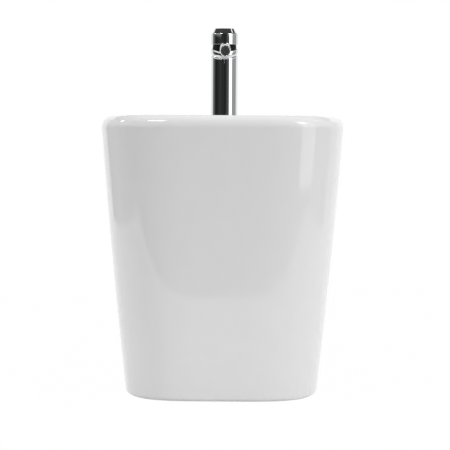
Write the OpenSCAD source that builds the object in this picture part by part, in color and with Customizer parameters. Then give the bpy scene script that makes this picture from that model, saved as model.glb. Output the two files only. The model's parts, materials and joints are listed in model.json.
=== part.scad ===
// Floor-standing, back-to-wall bidet with a single-lever column mixer, a click waste and side floor fixings.
// Millimetres. X is across, Y runs from the front to the wall, Z is up, and z = 0 is the floor.

/* [Ceramic body] */
// Width over the rim
body_w = 355; // [345:1:375]
// Depth from the front to the wall
body_d = 540; // [530:1:560]
// Height of the rim and the tap deck
rim_z = 400; // [395:1:410]
// Width of the foot on the floor
foot_w = 282; // [270:1:300]
// How far the foot stands back from the front of the rim
foot_set_back = 19; // [10:1:35]
// Wall thickness of the ware
wall = 11; // [10:0.5:12]
// Squareness of the plan: 2 is an ellipse, larger is squarer
plan_power = 4.1; // [3:0.1:5]
// Height of the rounding along the outer edge of the rim
rim_round_z = 17; // [10:1:18]
// Depth of that rounding across the top of the rim
rim_round_x = 14; // [10:1:18]

/* [Bowl] */
// Half width of the bowl at the rim
bowl_a = 132; // [125:1:134]
// Half length of the bowl at the rim
bowl_b = 165; // [155:1:167]
// Width of the rim in front of the bowl
rim_front = 43; // [40:1:50]
// Height of the seat of the waste above the floor
waste_seat_z = 236; // [232:1:240]
// Distance of the waste from the middle of the plan, towards the front
waste_forward = 10; // [0:1:20]
// Height of the overflow hole
overflow_z = 350; // [345:1:355]

/* [Tap] */
// Distance of the tap hole from the wall
tap_from_wall = 105; // [98:1:110]
// Diameter of the column
column_d = 42.4; // [42:0.2:43]
// Height of the column at its sides, above the deck
column_h = 98.6; // [97:0.1:100]
// Height of the whole tap above the deck
tap_h = 141.5; // [141:0.1:144]
// Reach of the spout from the axis of the column
spout_reach = 112; // [105:1:120]
// Diameter of the spout
spout_d = 17.0; // [17:0.1:18]
// Angle by which the arched spout falls at its nozzle
spout_fall = 13; // [12.4:0.1:13.2]
// Radius of the arch that the spout's centre line follows
spout_arch_r = 246; // [244:1:248]
// Angle by which the spout is turned to the right, seen from the front
spout_turn = 1.1; // [0:0.1:1.5]

/* [Fixings] */
// Distance of the side fixings from the wall
fixing_from_wall = 110; // [90:1:130]
// Height of the side fixings
fixing_z = 62; // [55:1:70]
// Distance between the two floor holes
floor_hole_pitch = 196; // [180:1:200]

/* [Hidden] */

$fn = 64;
eps = 0.01;

// Ceramic body
front_y = -body_d / 2;
back_y = body_d / 2;
widest_z = rim_z - rim_round_z;
flare_bulge = 0.2;
seam_z = rim_z - 28;
foot_round = 4;
bowl_y = front_y + rim_front + bowl_b;
bowl_power = 2.7;
bowl_profile_power = 3.2;
bowl_edge_round = 8;
bowl_shift_power = 5;
deck_t = 14;
foot_t = 14;
waste_y = -waste_forward;
waste_seat_r = 34.5;
under_top_z = rim_z - deck_t;
front_steps = 44;
side_steps = 4;
corner_steps = 4;
back_steps = 10;
back_corner_r = 12;
opening_half_w = 118;
opening_top_z = 345;
opening_round = 30;

// Waste and overflow
waste_thread_r = 20.95;
waste_barrel_r = waste_thread_r + 0.5;
waste_bore_r = 23;
chamber_r = 30;
boss_r = 41;
boss_bottom_z = 184;
flange_r = 32.5;
waste_tail_z = 140;
waste_tail_l = 25;
plug_travel = 9;
overflow_r = 11;
overflow_wall_y = 102.5;

// Tap
tap_y = back_y - tap_from_wall;
tap_hole_r = 17.5;
column_r = column_d / 2;
base_gap = 0.4;
column_top = rim_z + column_h;
bow_drop = 6.1;
bow_r = (column_r * column_r + bow_drop * bow_drop) / (2 * bow_drop);
collar_h = 11.3;
collar_r = column_r + 0.1;
collar_profile_r = 30;
collar_crown = 15.5;
pivot_z = rim_z + 111;
shroud_r = 18.9;
cap_r = column_r + 0.5;
cap_bottom = rim_z + 116.2;
cap_top = rim_z + tap_h;
cap_wall = 2.1;
cap_top_r = 15.9;
shoulder_r = 19.4;
shoulder_z = cap_top - 9.1;
shoulder_h = 2.4;
tower_r = 15.2;
cartridge_r = 12.5;
tower_top = rim_z + 100;
cartridge_floor = rim_z + 52;
socket_r = 19;
socket_floor = rim_z + 70;
spout_r = spout_d / 2;
nozzle_z = rim_z + 102.6;
nozzle_from_tap = spout_reach - 5.1;
spout_bore_r = 6.2;
ball_r = 7.4;
ball_at = spout_reach - 5.1;
hose_port_r = 4.5;
hose_port_x = 8.5;
hose_port_y = 5;
stud_y = -11;
stud_r = 4;

// Fixings
fixing_y = back_y - fixing_from_wall;
bracket_t = 3;
bracket_w = 44;
bracket_gap = 3.6;
floor_hole_r = 4.25;

// ---------------------------------------------------------------- shapes that repeat

// How far the wall has flared out at height z: 0 at the foot, 1 at the widest line under the rim.
function flare(z) = let (t = min(z, widest_z) / widest_z) t + flare_bulge * t * (1 - t);
function half_width(z) = foot_w / 2 + (body_w - foot_w) / 2 * flare(z);
function front_line(z) = front_y + foot_set_back * (1 - flare(z));

// Radius, in units of the half axes, of a superellipse of the given power in direction a.
function super_r(a, power) = pow(pow(abs(cos(a)), power) + pow(abs(sin(a)), power), -1 / power);

// Plan of the ware at height z, taken in by inset: a square-shouldered front and straight sides to the wall.
function ware_loop(z, inset) =
    let (a = half_width(z) - inset, b = -front_line(z) - inset, y1 = back_y - inset, r = back_corner_r)
    concat(
        [for (i = [0:front_steps]) let (t = 180 + 180 * i / front_steps, s = super_r(t, plan_power))
            [a * s * cos(t), b * s * sin(t), z]],
        [for (i = [1:side_steps]) [a, (y1 - r) * i / side_steps, z]],
        [for (i = [1:corner_steps]) let (t = 90 * i / corner_steps)
            [a - r + r * cos(t), y1 - r + r * sin(t), z]],
        [for (i = [1:back_steps]) [(a - r) * (1 - 2 * i / back_steps), y1, z]],
        [for (i = [1:corner_steps]) let (t = 90 + 90 * i / corner_steps)
            [-a + r + r * cos(t), y1 - r + r * sin(t), z]],
        [for (i = [1:side_steps - 1]) [-a, (y1 - r) * (1 - i / side_steps), z]]
    );
loop_n = len(ware_loop(0, 0));
back_n = loop_n - front_steps;

// Closed oval with half axes a and b about [0, cy, z], with a point for each point of the ware's plan.
function oval_loop(a, b, cy, z, power) =
    [for (i = [0:loop_n - 1])
        let (t = i <= front_steps ? 180 + 180 * i / front_steps : 180 * (i - front_steps) / back_n,
             s = super_r(t, power))
        [a * s * cos(t), cy + b * s * sin(t), z]];

// Bowl section at angle t of its profile, grown by g and hung from z0 down to z1.
function bowl_loop(t, g, z0, z1) =
    let (k = super_r(t, bowl_profile_power), s = k * cos(t), d = k * sin(t))
    oval_loop(s * (bowl_a + g), s * (bowl_b + g), bowl_y + (waste_y - bowl_y) * pow(d, bowl_shift_power),
              z0 + (z1 - z0) * d, bowl_power + (2 - bowl_power) * d);

// Solid skin over a list of closed loops that all have the same number of points, capped at both ends.
module skin(loops) {
    n = len(loops[0]);
    m = len(loops);
    points = [for (loop = loops) each loop];
    sides = [for (j = [0:m - 2], i = [0:n - 1])
        each [[j * n + i, j * n + (i + 1) % n, (j + 1) * n + (i + 1) % n],
              [j * n + i, (j + 1) * n + (i + 1) % n, (j + 1) * n + i]]];
    caps = [[for (i = [n - 1:-1:0]) i], [for (i = [0:n - 1]) (m - 1) * n + i]];
    polyhedron(points = points, faces = [for (f = concat(sides, caps)) [f[0], each [for (i = [len(f) - 1:-1:1]) f[i]]]]);
}

// Ring of rectangular section
module ring(r_out, r_in, z0, z1) {
    translate([0, 0, z0])
        rotate_extrude()
            translate([r_in, 0])
                square([r_out - r_in, z1 - z0]);
}

// O-ring lying round the Z axis
module o_ring(r_mid, r_cord, z) {
    translate([0, 0, z])
        rotate_extrude()
            translate([r_mid, 0])
                circle(r = r_cord, $fn = 24);
}

module on_tap_axis() {
    translate([0, tap_y, 0]) children();
}

module on_waste_axis() {
    translate([0, waste_y, 0]) children();
}

// Local Z runs out of the spout's end, with the nozzle ball's centre at z = ball_at
module on_spout_axis() {
    translate([0, tap_y, 0]) rotate([0, 0, spout_turn])
        translate([0, -nozzle_from_tap, nozzle_z]) rotate([90 + spout_fall, 0, 0])
            translate([0, 0, -ball_at]) children();
}

// Bar of radius r along the arch of the spout, from inside the column to that length short of the ball's centre
module along_spout(r, short) {
    crest = nozzle_from_tap - spout_arch_r * sin(spout_fall);
    start = 90 - asin((crest - 5) / spout_arch_r);
    end = 90 + spout_fall - short / spout_arch_r * 180 / PI;
    translate([0, tap_y, 0]) rotate([0, 0, spout_turn])
        translate([0, -crest, nozzle_z - spout_arch_r * cos(spout_fall)])
            rotate([90, 0, 90]) rotate([0, 0, start])
                rotate_extrude(angle = end - start)
                    translate([spout_arch_r, 0]) circle(r = r);
}

// Local Z runs out through the side wall, square to it, with z = 0 on the wall's outer face
side_lean = atan((half_width(fixing_z + 5) - half_width(fixing_z - 5)) / 10);
module on_side_fixing(side) {
    mirror([side < 0 ? 1 : 0, 0, 0])
        translate([half_width(fixing_z), fixing_y, fixing_z])
            rotate([0, 90 + side_lean, 0])
                children();
}

// ---------------------------------------------------------------- ceramic

// Everything below the bowed line across the column whose sides stand at height z
module below_bow(z) {
    translate([0, 0, z - bow_r])
        rotate([0, 90, 0])
            cylinder(r = bow_r, h = 4 * column_r, center = true, $fn = 128);
    translate([-2 * column_r, -2 * column_r, rim_z - 1])
        cube([4 * column_r, 4 * column_r, z - rim_z - 20]);
}

// A loop drawn again at another height
function at_height(loop, z) = [for (p = loop) [p[0], p[1], z]];

// How far the outer edge of the foot is rounded away at height z
function foot_inset(z) = z < foot_round ? foot_round - sqrt(foot_round * foot_round - pow(foot_round - z, 2)) : 0;

wall_levels = [0, 0.8, 2, foot_round, 60, 120, 180, 240, 300, seam_z];
hollow_levels = [0, 60, 150, 240, 330, seam_z];

// Tapered wall from the floor up to the seam under the basin, open below and above
module pedestal_wall() {
    difference() {
        skin([for (z = wall_levels) ware_loop(z, foot_inset(z))]);
        skin(concat([at_height(ware_loop(0, foot_t), -1)],
                    [for (z = hollow_levels) ware_loop(z, z == 0 ? foot_t : wall)],
                    [at_height(ware_loop(seam_z, wall), seam_z + 1)]));
    }
}

// One skin runs from the underside of the bowl, under the deck, round the skirt, over the rim and into the bowl.
module basin_shell() {
    under_bowl = [for (t = [76:-9.5:0]) bowl_loop(t, wall, under_top_z, waste_seat_z - wall)];
    ceiling = [ware_loop(under_top_z, wall + 7)];
    skirt = [ware_loop(under_top_z - 7, wall), ware_loop(seam_z, wall), ware_loop(seam_z, 0), ware_loop(widest_z, 0)];
    rim_edge = [for (t = [18:18:90])
        at_height(ware_loop(widest_z, rim_round_x * (1 - cos(t))), widest_z + rim_round_z * sin(t))];
    bowl_edge = [for (t = [0:30:60]) oval_loop(bowl_a + bowl_edge_round * (1 - sin(t)),
        bowl_b + bowl_edge_round * (1 - sin(t)), bowl_y, rim_z - bowl_edge_round * (1 - cos(t)), bowl_power)];
    bowl = [for (t = [0:7.5:67.5]) bowl_loop(t, 0, rim_z - bowl_edge_round, waste_seat_z)];
    seat = [oval_loop(waste_seat_r, waste_seat_r, waste_y, waste_seat_z, 2)];
    skin(concat(under_bowl, ceiling, skirt, rim_edge, bowl_edge, bowl, seat));
}

// Cast channel that leads the overflow down behind the bowl to the waste
duct_stations = [[121, overflow_z + 2], [112, 276], [92, 228], [18, 207]];
module duct(r, half_w) {
    for (i = [0:len(duct_stations) - 2])
        hull()
            for (p = [duct_stations[i], duct_stations[i + 1]])
                translate([0, p[0], p[1]])
                    rotate([0, 90, 0])
                        cylinder(r = r, h = 2 * half_w, center = true, $fn = 20);
}

module rear_opening() {
    translate([0, back_y + 5, 0])
        rotate([90, 0, 0])
            linear_extrude(wall + 20)
                union() {
                    translate([-opening_half_w, -10])
                        square([2 * opening_half_w, opening_top_z - opening_round + 10]);
                    translate([-opening_half_w + opening_round, 0])
                        square([2 * (opening_half_w - opening_round), opening_top_z]);
                    for (s = [-1, 1])
                        translate([s * (opening_half_w - opening_round), opening_top_z - opening_round])
                            circle(r = opening_round, $fn = 32);
                }
}

// Lower casting of the ware: foot, walls and the open back. The basin is stuck onto it before firing.
module ceramic_pedestal() {
    color("white")
        difference() {
            resize([2 * half_width(seam_z), 0, 0])
                difference() {
                    pedestal_wall();
                    rear_opening();
                }
            for (side = [-1, 1])
                on_side_fixing(side) {
                    translate([0, 0, -wall - 6]) cylinder(r = 5.5, h = wall + 8);
                    translate([0, 0, -1.2]) cylinder(r = 9.5, h = 5);
                }
        }
}

// Upper casting of the ware: rim, tap deck, bowl, waste boss and overflow channel
module ceramic_basin() {
    color("white")
        difference() {
            resize([body_w, 0, 0])
                difference() {
                    union() {
                        basin_shell();
                        duct(13, 23);
                        on_waste_axis()
                            translate([0, 0, boss_bottom_z])
                                cylinder(r = boss_r, h = waste_seat_z - boss_bottom_z - 4, $fn = 48);
                    }
                    duct(6.5, 16);
                    translate([0, overflow_wall_y, overflow_z])
                        rotate([-90, 0, 0])
                            cylinder(r = overflow_r - 1, h = 30, center = true, $fn = 24);
                }
            on_waste_axis()
                rotate_extrude()
                    polygon([[0, boss_bottom_z - 1], [waste_bore_r, boss_bottom_z - 1],
                             [waste_bore_r, boss_bottom_z + 8], [chamber_r, boss_bottom_z + 8],
                             [chamber_r, waste_seat_z - 12], [waste_bore_r, waste_seat_z - 12],
                             [waste_bore_r, waste_seat_z + 1], [0, waste_seat_z + 1]]);
            on_tap_axis()
                translate([0, 0, rim_z - deck_t - 3])
                    cylinder(r = tap_hole_r, h = deck_t + 6);
            translate([0, overflow_wall_y, overflow_z])
                rotate([-90, 0, 0]) {
                    translate([0, 0, -5]) cylinder(r = overflow_r, h = 20);
                    translate([0, 0, -12]) cylinder(r = 14.2, h = 12);
                }
        }
}

module overflow_ring() {
    color("lightgray")
        translate([0, overflow_wall_y, overflow_z])
            rotate([-90, 0, 0])
                rotate_extrude()
                    polygon([[9.3, 12], [9.3, -0.6], [10.3, -2], [13, -2], [14, -1], [14, 0], [10.8, 0], [10.8, 12]]);
}

// ---------------------------------------------------------------- waste

module waste_body() {
    color("silver")
        on_waste_axis()
            difference() {
                union() {
                    translate([0, 0, waste_tail_z])
                        cylinder(r = waste_thread_r, h = waste_tail_l + 1);
                    translate([0, 0, waste_tail_z + waste_tail_l])
                        cylinder(r = waste_barrel_r, h = waste_seat_z + 1 - waste_tail_z - waste_tail_l);
                    translate([0, 0, waste_seat_z + 1.2])
                        rotate_extrude()
                            polygon([[0, -1], [waste_barrel_r, -1], [waste_barrel_r, 0], [flange_r, 0],
                                     [flange_r, 0.8], [flange_r - 1.6, 2.2], [22, 2.6], [0, 2.6]]);
                }
                difference() {
                    translate([0, 0, waste_tail_z - 1])
                        cylinder(r = 17.5, h = 150);
                    difference() {
                        translate([-19, -3, waste_seat_z - 36]) cube([38, 6, 6]);
                        translate([0, 0, waste_seat_z - 37]) cylinder(r = 5.6, h = 8);
                    }
                }
                translate([0, 0, waste_seat_z - 2.5])
                    cylinder(r = 20, h = 20);
                for (a = [90, 270])
                    rotate([0, 0, a])
                        translate([10, -9, waste_seat_z - 40]) cube([20, 18, 18]);
            }
}

module waste_top_seal() {
    color("dimgray")
        on_waste_axis() ring(31, 23.4, waste_seat_z, waste_seat_z + 1.2);
}

module waste_bottom_seal() {
    color("dimgray")
        on_waste_axis()
            translate([0, 0, boss_bottom_z])
                rotate_extrude()
                    polygon([[21.6, -7], [34, -7], [34, -4], [29, 0], [22.8, 0], [22.8, 5], [21.6, 5]]);
}

module waste_washer() {
    color("whitesmoke")
        on_waste_axis() ring(33, 21.6, boss_bottom_z - 8.2, boss_bottom_z - 7);
}

module waste_nut() {
    color("goldenrod")
        on_waste_axis()
            translate([0, 0, boss_bottom_z - 18.2])
                difference() {
                    union() {
                        cylinder(r = 30, h = 10, $fn = 8);
                        translate([0, 0, 7]) cylinder(r = 32, h = 3);
                    }
                    translate([0, 0, -1]) cylinder(r = waste_barrel_r + 0.05, h = 12);
                }
}

module click_housing() {
    color("whitesmoke")
        on_waste_axis()
            translate([0, 0, waste_seat_z])
                rotate_extrude()
                    polygon([[0, -44], [5.5, -44], [5.5, -30], [7.6, -30], [7.6, -28], [5.5, -28], [5.5, -12],
                             [2.7, -12], [2.7, -13.5], [3.7, -13.5], [3.7, -42], [0, -42]]);
}

module click_stem() {
    color("silver")
        on_waste_axis() {
            translate([0, 0, waste_seat_z - 27]) cylinder(r = 3.5, h = 4);
            translate([0, 0, waste_seat_z - 23]) cylinder(r = 2.5, h = 23);
        }
}

spring_turns = 7;
spring_r = 2.7;
spring_wire_r = 0.45;
spring_z0 = waste_seat_z - 41.4;
spring_z1 = waste_seat_z - 27.6;
spring_steps = 14;

module click_spring() {
    color("gray")
        on_waste_axis()
            skin([for (i = [0:spring_turns * spring_steps])
                let (a = 360 * i / spring_steps, z = spring_z0 + (spring_z1 - spring_z0) * i / (spring_turns * spring_steps))
                [for (j = [0:5]) let (c = -60 * j, r = spring_r + spring_wire_r * cos(c))
                    [r * cos(a), r * sin(a), z + spring_wire_r * sin(c)]]]);
}

module plug_cap() {
    color("silver")
        on_waste_axis()
            translate([0, 0, waste_seat_z])
                rotate_extrude()
                    polygon(concat([[2.5, -2], [6, -2], [6, -1.3], [19.3, -1.3], [19.3, 1.4]],
                                   [for (r = [18:-3:0]) [r, 3.9 - 2 * pow(r / 19.3, 2)]], [[0, 0], [2.5, 0]]));
}

module plug_seal() {
    color("dimgray")
        on_waste_axis() ring(19.2, 15, waste_seat_z - 2.48, waste_seat_z - 1.3);
}

// ---------------------------------------------------------------- tap

module tap_body() {
    color("silver")
        on_tap_axis()
            difference() {
                union() {
                    difference() {
                        intersection() {
                            translate([0, 0, rim_z + base_gap])
                                cylinder(r = column_r, h = tap_h);
                            below_bow(column_top);
                        }
                        translate([0, 0, socket_floor]) cylinder(r = socket_r, h = 60);
                    }
                    translate([0, 0, socket_floor - 1])
                        cylinder(r = tower_r, h = tower_top - socket_floor + 1);
                }
                translate([0, 0, cartridge_floor]) cylinder(r = cartridge_r + 0.1, h = 60);
                for (s = [-1, 1])
                    translate([s * hose_port_x, hose_port_y, rim_z - 1]) {
                        cylinder(r = hose_port_r, h = 17);
                        cylinder(r = 3.2, h = cartridge_floor - rim_z + 2);
                    }
                translate([0, stud_y, rim_z - 1]) cylinder(r = stud_r + 0.05, h = 15);
                translate([0, 0, socket_floor + 4])
                    rotate([90, 0, 0]) cylinder(r = 3, h = 17);
                ring(20.2, 17.8, rim_z, rim_z + 2.4);
            }
}

module tap_base_seal() {
    color("dimgray")
        on_tap_axis() ring(20.1, 17.9, rim_z, rim_z + 2.4);
}

// Collar with bowed edges round the column's top, and its sleeve inside the column
module spout_collar() {
    difference() {
        union() {
            intersection() {
                translate([0, 0, column_top - 12])
                    rotate_extrude()
                        polygon(concat([[0, 0]],
                            [for (z = [0:2:26]) [collar_r - collar_profile_r
                                + sqrt(pow(collar_profile_r, 2) - pow(z - collar_crown, 2)), z]], [[0, 26]]));
                difference() {
                    below_bow(column_top + collar_h);
                    below_bow(column_top);
                }
            }
            translate([0, 0, socket_floor + 12])
                cylinder(r = socket_r - 0.05, h = 26);
        }
        translate([0, 0, socket_floor]) cylinder(r = 17, h = 60);
        translate([0, 0, column_top]) cylinder(r = shroud_r + 0.05, h = 30);
        for (z = [socket_floor + 15, socket_floor + 19])
            ring(socket_r + 1, socket_r - 1.35, z - 0.8, z + 0.8);
    }
}

module spout() {
    color("silver")
        difference() {
            union() {
                on_tap_axis() spout_collar();
                difference() {
                    along_spout(spout_r, 1.1);
                    on_tap_axis() translate([0, 0, socket_floor]) cylinder(r = 17, h = 80);
                }
            }
            along_spout(spout_bore_r, 0);
            on_spout_axis() translate([0, 0, spout_reach - 12.2]) cylinder(r = 7.7, h = 10);
        }
}

module spout_oring_lower() {
    color("dimgray") on_tap_axis() o_ring(socket_r - 0.7, 0.65, socket_floor + 15);
}

module spout_oring_upper() {
    color("dimgray") on_tap_axis() o_ring(socket_r - 0.7, 0.65, socket_floor + 19);
}

// Black dome that fills the gap under the handle. It is part of a ball about the handle's pivot.
module neck_shroud() {
    color([0.05, 0.05, 0.05])
        difference() {
            on_tap_axis()
                difference() {
                    union() {
                        intersection() {
                            translate([0, 0, pivot_z]) sphere(r = shroud_r);
                            ring(shroud_r + 1, 10, column_top + 2, rim_z + 121);
                        }
                        ring(shroud_r, 16.8, column_top + 0.05, pivot_z);
                    }
                    translate([0, 0, pivot_z]) sphere(r = shroud_r - 1.9);
                    translate([0, 0, column_top]) cylinder(r = 16.8, h = 12.4);
                }
            along_spout(spout_r + 0.05, 40);
        }
}

module cartridge() {
    color("whitesmoke")
        on_tap_axis()
            difference() {
                union() {
                    translate([0, 0, cartridge_floor + 0.2])
                        cylinder(r = cartridge_r, h = tower_top - cartridge_floor);
                    ring(14.6, 5, tower_top, tower_top + 3);
                    ring(cartridge_r, 5, tower_top, rim_z + 112);
                }
                translate([0, 0, rim_z + 86]) cylinder(r = 10.8, h = 40);
                for (s = [-1, 1])
                    translate([s * hose_port_x * 0.7, hose_port_y, cartridge_floor]) cylinder(r = 2.6, h = 20);
                translate([0, 0, socket_floor + 4])
                    rotate([90, 0, 0]) cylinder(r = 3, h = 17);
            }
}

module cartridge_nut() {
    color("goldenrod")
        on_tap_axis()
            difference() {
                union() {
                    ring(16.4, tower_r + 0.05, tower_top - 9, tower_top + 3);
                    ring(16.4, cartridge_r + 0.3, tower_top + 3, tower_top + 6);
                }
                for (a = [45:90:315])
                    rotate([0, 0, a])
                        translate([14, -1.5, tower_top + 4]) cube([4, 3, 3]);
            }
}

// Part of the cartridge that turns with the handle. Its fork holds the pin that the stem tilts on.
module cartridge_rotor() {
    color("dimgray")
        on_tap_axis()
            difference() {
                translate([0, 0, rim_z + 86.2]) cylinder(r = 10.7, h = 28.3);
                translate([-3.7, -11, rim_z + 94]) cube([7.4, 22, 30]);
                translate([0, 0, pivot_z])
                    rotate([0, 90, 0]) cylinder(r = 1.55, h = 30, center = true);
            }
}

module tilt_pin() {
    color("silver")
        on_tap_axis()
            translate([0, 0, pivot_z])
                rotate([0, 90, 0]) cylinder(r = 1.5, h = 20, center = true);
}

module cartridge_stem() {
    color("silver")
        on_tap_axis()
            difference() {
                translate([-3.5, -3.5, rim_z + 96]) cube([7, 7, 36]);
                translate([0, 0, pivot_z])
                    rotate([0, 90, 0]) cylinder(r = 1.55, h = 30, center = true);
            }
}

// Lever-less handle: the whole cap turns for temperature and tips back for flow.
module handle_cap() {
    color("silver")
        difference() {
            on_tap_axis()
                rotate_extrude()
                    polygon(concat([[cap_r - cap_wall, cap_bottom], [cap_r - 0.3, cap_bottom], [cap_r, cap_bottom + 0.3]],
                                   [for (a = [0:18:90]) [shoulder_r + (cap_r - shoulder_r) * cos(a),
                                                         shoulder_z + shoulder_h * sin(a)]],
                                   [[cap_top_r + 0.5, cap_top - 0.5], [cap_top_r, cap_top], [0, cap_top],
                                    [0, cap_top - 2.6], [cap_top_r - 2.3, cap_top - 2.6],
                                    [shoulder_r - 2.4, shoulder_z], [cap_r - cap_wall, shoulder_z - 2]]));
            on_tap_axis()
                translate([0, 0, rim_z + 127])
                    rotate([-90, 0, 0]) cylinder(r = 3, h = 30);
        }
}

module handle_hub() {
    color("dimgray")
        on_tap_axis()
            difference() {
                translate([0, 0, rim_z + 118]) cylinder(r = 8.6, h = cap_top - 2.6 - rim_z - 118);
                translate([-3.55, -3.55, rim_z + 116]) cube([7.1, 7.1, 16.2]);
                translate([0, 0, rim_z + 127])
                    rotate([-90, 0, 0]) cylinder(r = 2.55, h = 12);
            }
}

module handle_screw() {
    color("gray")
        on_tap_axis()
            translate([0, 3.55, rim_z + 127])
                rotate([-90, 0, 0])
                    difference() {
                        cylinder(r = 2.5, h = 6);
                        translate([0, 0, 3.5]) cylinder(r = 1.45, h = 4, $fn = 6);
                    }
}

module handle_plug() {
    color("gray")
        on_tap_axis()
            translate([0, cap_r - 2.5, rim_z + 127])
                rotate([-90, 0, 0])
                    cylinder(r = 2.95, h = 2.5);
}

// ---------------------------------------------------------------- nozzle

module ball_seat() {
    color("whitesmoke")
        on_spout_axis() ring(7.6, 5.5, spout_reach - 12.1, spout_reach - 10.3);
}

module nozzle_ball() {
    color([0.25, 0.25, 0.25])
        on_spout_axis()
            translate([0, 0, ball_at])
                difference() {
                    sphere(r = ball_r);
                    translate([-10, -10, 5]) cube(20);
                    translate([-10, -10, -24.6]) cube(20);
                    translate([0, 0, -10]) cylinder(r = 3.6, h = 20);
                    translate([0, 0, 1]) cylinder(r = 4.9, h = 10);
                }
}

module aerator_insert() {
    color([0.2, 0.2, 0.2])
        on_spout_axis()
            translate([0, 0, ball_at + 1])
                difference() {
                    cylinder(r = 4.85, h = 3.8);
                    for (x = [-3:1.5:3], y = [-3:1.5:3])
                        if (x * x + y * y < 15)
                            translate([x - 0.5, y - 0.5, 1]) cube([1, 1, 6]);
                }
}

module nozzle_ring() {
    color("silver")
        on_spout_axis()
            rotate_extrude()
                translate([0, spout_reach])
                    polygon([[7.55, -6.1], [spout_r, -6.1], [spout_r, -2.6], [7.4, 0],
                             [7.1, 0], [6.9, -0.2], [6.9, -2.3], [7.55, -2.3]]);
}

// ---------------------------------------------------------------- clamp under the deck

clamp_z = rim_z - deck_t;

// Horseshoe that slips round the hoses from behind
module horseshoe(z0, z1) {
    on_tap_axis()
        difference() {
            translate([0, 0, z0]) cylinder(r = 24, h = z1 - z0);
            translate([-14.5, -4, z0 - 1]) cube([29, 40, z1 - z0 + 2]);
            translate([0, stud_y, z0 - 1]) cylinder(r = stud_r + 0.4, h = z1 - z0 + 2);
        }
}

module clamp_gasket() {
    color("dimgray") horseshoe(clamp_z - 3, clamp_z);
}

module clamp_plate() {
    color("goldenrod") horseshoe(clamp_z - 6, clamp_z - 3);
}

module tap_stud() {
    color("silver")
        on_tap_axis()
            translate([0, stud_y, rim_z - 58]) cylinder(r = stud_r, h = 71);
}

module stud_nut() {
    color("goldenrod")
        on_tap_axis()
            translate([0, stud_y, clamp_z - 14])
                difference() {
                    union() {
                        cylinder(r = 7.5, h = 8, $fn = 6);
                        translate([0, 0, 6.5]) cylinder(r = 8.5, h = 1.5);
                    }
                    translate([0, 0, -1]) cylinder(r = stud_r + 0.05, h = 10);
                }
}

// ---------------------------------------------------------------- floor fixings

module bracket(side) {
    face_x = half_width(fixing_z) - (wall + bracket_gap) / cos(side_lean) - fixing_z * tan(side_lean);
    plate_x = bracket_t / cos(side_lean);
    top = 84;
    rise = top * tan(side_lean);
    color("silver")
        difference() {
            union() {
                mirror([side < 0 ? 1 : 0, 0, 0])
                    translate([0, fixing_y + bracket_w / 2, 0])
                        rotate([90, 0, 0])
                            linear_extrude(bracket_w)
                                polygon([[face_x, 0], [face_x + rise, top], [face_x + rise - plate_x, top],
                                         [face_x - plate_x + bracket_t * tan(side_lean), bracket_t],
                                         [face_x - 48, bracket_t], [face_x - 48, 0]]);
                on_side_fixing(side)
                    translate([0, 0, -wall - bracket_gap - bracket_t - 6])
                        cylinder(r = 7, h = 6.5, $fn = 6);
            }
            on_side_fixing(side)
                translate([0, 0, -40]) cylinder(r = 3.05, h = 40);
            translate([side * floor_hole_pitch / 2, fixing_y, -1])
                cylinder(r = floor_hole_r, h = bracket_t + 2);
        }
}

module bracket_left() bracket(-1);
module bracket_right() bracket(1);

module side_bush(side) {
    color("whitesmoke")
        on_side_fixing(side)
            rotate_extrude()
                polygon([[3.2, -wall - 2], [5.4, -wall - 2], [5.4, -1.2], [8.6, -1.2], [8.6, 0], [3.2, 0]]);
}

module side_bush_left() side_bush(-1);
module side_bush_right() side_bush(1);

module side_screw(side) {
    color("silver")
        on_side_fixing(side)
            difference() {
                union() {
                    translate([0, 0, -28]) cylinder(r = 3, h = 28.5);
                    cylinder(r = 5.5, h = 2.6);
                }
                translate([0, 0, 1]) cylinder(r = 2.3, h = 3, $fn = 6);
            }
}

module side_screw_left() side_screw(-1);
module side_screw_right() side_screw(1);

module side_cap(side) {
    color("silver")
        on_side_fixing(side)
            rotate_extrude()
                polygon([[6.2, 0], [9.2, 0], [9.2, 1.2], [8.4, 2.9], [6.5, 3.9], [0, 4.5],
                         [0, 3.2], [5.6, 3.2], [6.2, 2.8]]);
}

module side_cap_left() side_cap(-1);
module side_cap_right() side_cap(1);

ceramic_pedestal();
ceramic_basin();
overflow_ring();
waste_body();
waste_top_seal();
waste_bottom_seal();
waste_washer();
waste_nut();
click_housing();
click_stem();
click_spring();
plug_cap();
plug_seal();
tap_body();
tap_base_seal();
spout();
spout_oring_lower();
spout_oring_upper();
neck_shroud();
cartridge();
cartridge_nut();
cartridge_rotor();
tilt_pin();
cartridge_stem();
handle_cap();
handle_hub();
handle_screw();
handle_plug();
ball_seat();
nozzle_ball();
aerator_insert();
nozzle_ring();
tap_stud();
clamp_gasket();
clamp_plate();
stud_nut();
bracket_left();
bracket_right();
side_bush_left();
side_bush_right();
side_screw_left();
side_screw_right();
side_cap_left();
side_cap_right();
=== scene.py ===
"""Looks of the floor-standing bidet: glazed china, chrome mixer and studio. Metres, in the CAD's frame."""

import json
import math

import bmesh
import bpy
from mathutils import Matrix, Vector


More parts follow.
